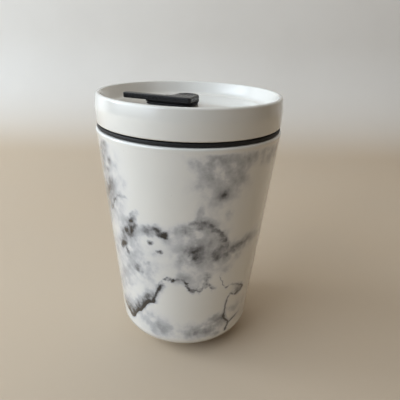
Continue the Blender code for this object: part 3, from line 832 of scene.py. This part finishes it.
def stop_lugs():
    """The two lugs under the lid, copied from the frame's own stops by their angles."""
    tab_half, clearance, width = math.radians(8), math.radians(1.5), math.radians(14)
    inner, outer = 0.0066, 0.0088
    swing = math.radians(SWING_JOINT["range_deg"][1])
    starts = (math.pi + tab_half + clearance, math.pi - swing - tab_half - clearance - width)
    bottom = low("drive_washer").z
    for start in starts:
        edge = arc((0, 0), outer, start, start + width) + arc((0, 0), inner, start + width, start)
        yield to_lid_frame(lofted("lug", [
            level(inset(edge, 0.0002), bottom),
            level(edge, bottom + 0.0002),
            level(edge, LID_UNDERSIDE + 0.0005),
        ]))


def add_lid():
    outline = rounded([
        (0.0, DISH_FLOOR),
        (DISH_RADIUS, DISH_FLOOR, 0.0030),
        (CREST[0], HEIGHT, 0.0009),
        (CREST[1], HEIGHT, 0.0011),
        (LID_RADIUS, SHOULDER, 0.0100),
        (LID_RADIUS - 0.0003, SKIRT_BOTTOM, 0.0009),
        (SKIRT_INSIDE, SKIRT_BOTTOM, 0.0009),
        (SKIRT_INSIDE, GROOVE_ROOF[1], 0.0010),
        (COLLAR[1], GROOVE_ROOF[0], 0.0006),
        (COLLAR[1], COLLAR_BOTTOM, 0.0009),
        (COLLAR[0], COLLAR_BOTTOM, 0.0009),
        (COLLAR[0], LID_UNDERSIDE, 0.0020),
        (0.0, LID_UNDERSIDE),
    ])
    lid = turned("lid_porcelain", outline, steps=TURNED_STEPS)
    hand_finished(lid, 0.00005)
    faces = (LID_UNDERSIDE, DISH_FLOOR)
    for lug in stop_lugs():
        combine(lid, lug, "UNION")
    pivot_hole = ring_radius("pivot_bush") + GAP
    combine(lid, flared_hole(lambda grow: circle(pivot_hole + grow, 64), faces, 0.00015), "DIFFERENCE")
    combine(lid, flared_hole(lambda grow: obround(DRINK_HOLE, DRINK_HALF, grow), faces, 0.0007), "DIFFERENCE")
    combine(lid, flared_hole(lambda grow: circle(AIR_HOLE_RADIUS + grow, 32, AIR_HOLE), faces, 0.0004),
            "DIFFERENCE")
    smooth_shade(lid)
    lid.data.materials.clear()
    lid.data.materials.append(porcelain("white porcelain lid", bare=COLLAR_BOTTOM * 1000 + 0.35))
    return lid


def ring_radius(node):
    """Radius of a piece that turns about the pivot, just under its top."""
    mesh = frame["nodes"][node].data
    top = high(node).z
    return max((v.co.xy - PIVOT).length for v in mesh.vertices if v.co.z > top - 0.0002)


def add_seal():
    """Silicone ring with a fine mould line round the flange's edge."""
    inside = COLLAR[1] + GAP
    bottom = COLLAR_BOTTOM + 0.0005
    roof = high("lid_seal").z
    mould_line = high("lid_seal").x
    flange = mould_line - 0.00004
    middle = sum(SEAL_FLANGE_Z) / 2
    lips = []
    for z in SEAL_LIPS:
        reach = on(LINER_INSIDE, z) - GAP
        lips += [(SEAL_SLEEVE, z - 0.0008, 0.0003), (reach, z, 0.0001), (reach, z + 0.0003, 0.0001),
                 (SEAL_SLEEVE, z + 0.0006, 0.0002)]
    profile = rounded([
        (inside, bottom, 0.0003),
        (SEAL_SLEEVE, bottom, 0.0005),
        *lips,
        (SEAL_SLEEVE, SEAL_FLANGE_Z[0], 0.0002),
        (flange, SEAL_FLANGE_Z[0], 0.0004),
        (flange, middle - 0.00008),
        (mould_line, middle - 0.00003),
        (mould_line, middle + 0.00003),
        (flange, middle + 0.00008),
        (flange, SEAL_FLANGE_Z[1], 0.0004),
        (inside + 0.0030, SEAL_FLANGE_Z[1], 0.0002),
        (inside + 0.0030, roof, 0.0003),
        (inside + 0.0004, roof, 0.0003),
    ])
    seal = turned("seal_ring", profile, steps=TURNED_STEPS)
    seal.data.materials.append(silicone("charcoal silicone", (0.012, 0.012, 0.013), (0.019, 0.019, 0.020)))
    return seal


# ---- shutter -----------------------------------------------------------------------------

def lever_outline():
    """A straight bar along the front, and behind it a round-ended head over the pivot."""
    back, front = BAR_EDGES
    return rounded([
        *arc((0, 0), HEAD_RADIUS, 0, -math.pi),
        (-BAR_END, front, 0.0012),
        (LEVER_REACH, front, 0.0014),
        (LEVER_REACH, back, 0.0014),
        (HEAD_RADIUS, back, 0.0034),
    ])


def part_way(value, start, end):
    return min(1, max(0, (value - start) / (end - start)))


def head_softness(x, y):
    """The lever's edges are rounder about its head than along the bar."""
    return 1 + EXTRA_SOFT * part_way(y, *SOFT_BEHIND) * part_way(x, *SOFT_HEAD)


def shutter_outline(margin):
    """The foot of the lever, smaller all round by margin."""
    front, back = SHUTTER_FRONT - margin, -HEAD_RADIUS + margin
    by_head, end_back, end_front = SHUTTER_CORNERS
    return rounded([
        (-HEAD_RADIUS + margin, front, by_head),
        (-HEAD_RADIUS + margin, back, HEAD_RADIUS - margin - 0.0001),
        (SHUTTER_END - margin, back, end_back),
        (SHUTTER_END - margin, front, end_front),
    ])


def add_lever():
    piece = soft_slab("lever_moulding", lever_outline(), LEVER_Z, 0.00045, 0.00035, head_softness)
    foot = soft_slab("foot", shutter_outline(0.0), (GASKET_Z[1] + GAP, LEVER_Z[0] + 0.0004), 0.0, 0.0003)
    combine(piece, foot, "UNION")
    boss_bottom = low("lever").z
    boss = lofted("boss", [
        level(circle(BOSS_RADII[0], 64), boss_bottom),
        level(circle(BOSS_RADII[1], 64), boss_bottom + 0.0004),
        level(circle(BOSS_RADII[1], 64), LEVER_Z[0] + 0.0003),
    ])
    combine(piece, boss, "UNION")
    top = LEVER_Z[1]
    dip = [(radius, top - depth) for radius, depth in FINGER_DIP]
    dip += [(DIP_EDGE, top + 0.0001), (DIP_EDGE, top + 0.0010), (0.0, top + 0.0010)]
    combine(piece, turned("finger_dip", dip, steps=96), "DIFFERENCE")
    to_lid_frame(piece)
    smooth_shade(piece, 30)
    piece.data.materials.clear()
    # The foot under the lever's plate gets painted shade.
    piece.data.materials.append(moulded("charcoal plastic", (0.013, 0.013, 0.014), (0.019, 0.019, 0.020),
                                        shine=(0.24, 0.30), painted_shade_below_z=LEVER_Z[0] * 1000))
    return piece


def add_pad():
    pad = soft_slab("shutter_pad", shutter_outline(0.0003), GASKET_Z, 0.0002, 0.0003)
    edge = circle(GASKET_HOLE_RADIUS, 48)
    hole = lofted("hole", [level(edge, GASKET_Z[0] - 0.001), level(edge, GASKET_Z[1] + 0.001)])
    combine(pad, hole, "DIFFERENCE")
    to_lid_frame(pad)
    smooth_shade(pad)
    pad.data.materials.clear()
    # Charcoal silicone, set darker than the seal's as painted shade under the lever.
    pad.data.materials.append(silicone("charcoal silicone pad in painted shade", (0.008, 0.008, 0.009), (0.013, 0.013, 0.014)))
    return pad


# ---- hidden pieces -----------------------------------------------------------------------

def dress(node, material):
    """Gives a CAD node its finished material."""
    piece = frame["nodes"][node]
    piece.data.materials.clear()
    piece.data.materials.append(material)


def dress_hidden_pieces():
    natural = moulded("natural plastic", (0.56, 0.55, 0.51), (0.64, 0.63, 0.58))
    white = silicone("white silicone", (0.70, 0.69, 0.66), (0.78, 0.77, 0.74), dust=0.05)
    black = silicone("black silicone", (0.024, 0.024, 0.026), (0.036, 0.036, 0.038))
    turned_steel = steel("turned steel")
    for node in ("rim_bond", "base_cushion", "base_plug"):
        dress(node, white)
    for node in ("pivot_bush", "drive_washer", "screw_cap"):
        dress(node, natural)
    for node in ("spring_washer", "pivot_screw"):
        dress(node, turned_steel)
    dress("pivot_o_ring", black)


# ---- stage -------------------------------------------------------------------------------

def add_sweep():
    """Plain pale floor that curves up into a backdrop."""
    back, radius, side = 0.28, 0.14, 1.6
    line = [(-1.6, 0.0), *arc((back, radius), radius, -math.pi / 2, 0), (back + radius, 1.1)]
    shape = bmesh.new()
    rows = [[shape.verts.new((x, y, z)) for x in (-side, side)] for y, z in line]
    for one, two in zip(rows, rows[1:]):
        shape.faces.new((one[0], one[1], two[1], two[0]))
    sweep = add_piece("sweep", shape, sharp=180)
    g = Surface("pale paper")
    depth = g.node("ShaderNodeSeparateXYZ", {"Vector": g.metres}).outputs[1]
    ground = g.mix(g.span(depth, 0.30, 0.42, soft=True), (0.58, 0.475, 0.355), (0.80, 0.785, 0.75))
    tone = g.mix(g.span(g.cloud(0.01, 4), 0.35, 0.65, 0.0, 0.08), ground, (0.5, 0.47, 0.42))
    g.bump((g.cloud(0.8, 3), 0.00003))
    sweep.data.materials.append(g.look(base_color=tone, roughness=0.75))


def fade_edges(light, fade):
    """A diffuser: the light dims towards its edges, over a part of its width."""
    light.use_nodes = True
    g = Graph(light.node_tree)
    across = g.node("ShaderNodeNewGeometry").outputs["Parametric"]
    strength = 1.0
    for axis in g.node("ShaderNodeSeparateXYZ", {"Vector": across}).outputs[:2]:
        from_middle = g.math("ABSOLUTE", g.math("SUBTRACT", axis, 0.5))
        strength = g.math("MULTIPLY", strength, g.span(from_middle, 0.5 - fade, 0.5, 1, 0, soft=True))
    g.feed(g.tree.nodes["Emission"].inputs["Strength"], strength)


def add_light(name, place, target, size, power, colour, fade=0.3):
    light = bpy.data.lights.new(name, "AREA")
    light.shape = "RECTANGLE"
    light.size, light.size_y = size
    light.energy = power
    light.color = colour
    fade_edges(light, fade)
    lamp = bpy.data.objects.new(name, light)
    lamp.location = place
    lamp.rotation_euler = (Vector(target) - Vector(place)).to_track_quat("-Z", "Y").to_euler()
    bpy.context.scene.collection.objects.link(lamp)


def add_lights():
    middle = (0, 0, 0.06)
    add_light("window", (-0.86, -0.36, 0.58), middle, (1.7, 1.3), 25.6, (0.79, 0.89, 1.0), fade=0.25)
    add_light("bright pane", (-0.95, 0.15, 0.50), middle, (0.35, 0.28), 2.6, (0.90, 0.96, 1.0), fade=0.12)
    add_light("room", (0.70, -0.55, 0.30), middle, (0.9, 0.6), 0.14, (1.0, 0.54, 0.20))
    add_light("ceiling", (0.30, 0.32, 0.90), middle, (1.3, 1.3), 3.8, (1.0, 0.89, 0.72), fade=0.45)
    backdrop = (0.52, 0.42, 0.30)
    add_light("wall wash", (0.25, -0.05, 0.80), backdrop, (1.5, 1.0), 3.0, (1.0, 0.97, 0.93), fade=0.4)
    world = bpy.data.worlds.new("room light")
    world.use_nodes = True
    background = world.node_tree.nodes["Background"]
    background.inputs["Color"].default_value = (1.0, 0.74, 0.48, 1)
    background.inputs["Strength"].default_value = 0.065
    bpy.context.scene.world = world


def add_camera():
    flat = math.cos(CAMERA_PITCH)
    ahead = Vector((math.sin(CAMERA_YAW) * flat, math.cos(CAMERA_YAW) * flat, -math.sin(CAMERA_PITCH)))
    across = Vector((math.cos(CAMERA_YAW), -math.sin(CAMERA_YAW), 0))
    upright = across.cross(ahead)
    right = math.cos(CAMERA_ROLL) * across + math.sin(CAMERA_ROLL) * upright
    up = -math.sin(CAMERA_ROLL) * across + math.cos(CAMERA_ROLL) * upright
    turn = Matrix((right, up, -ahead)).transposed().to_4x4()
    data = bpy.data.cameras.new("camera")
    data.lens = 36
    data.sensor_width = 36
    data.clip_start = 0.01
    camera = bpy.data.objects.new("camera", data)
    camera.matrix_world = Matrix.Translation(CAMERA_PLACE) @ turn
    bpy.context.scene.collection.objects.link(camera)
    bpy.context.scene.camera = camera


# ---- the mug -----------------------------------------------------------------------------

def place(piece, body, slot, *nodes):
    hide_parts(*nodes)
    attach(piece, body)


place(add_outer_wall(), "cup", "marbled_porcelain", "outer_shell")
place(add_liner(), "cup", "white_porcelain", "inner_cup")
place(add_lid(), "lid", "white_porcelain", "lid_shell")
place(add_seal(), "lid", "charcoal_silicone", "lid_seal")
place(add_lever(), "shutter", "charcoal_plastic", "lever")
place(add_pad(), "shutter", "charcoal_silicone", "shutter_gasket")
dress_hidden_pieces()
add_sweep()
add_lights()
add_camera()
bpy.context.scene.view_settings.view_transform = "Standard"
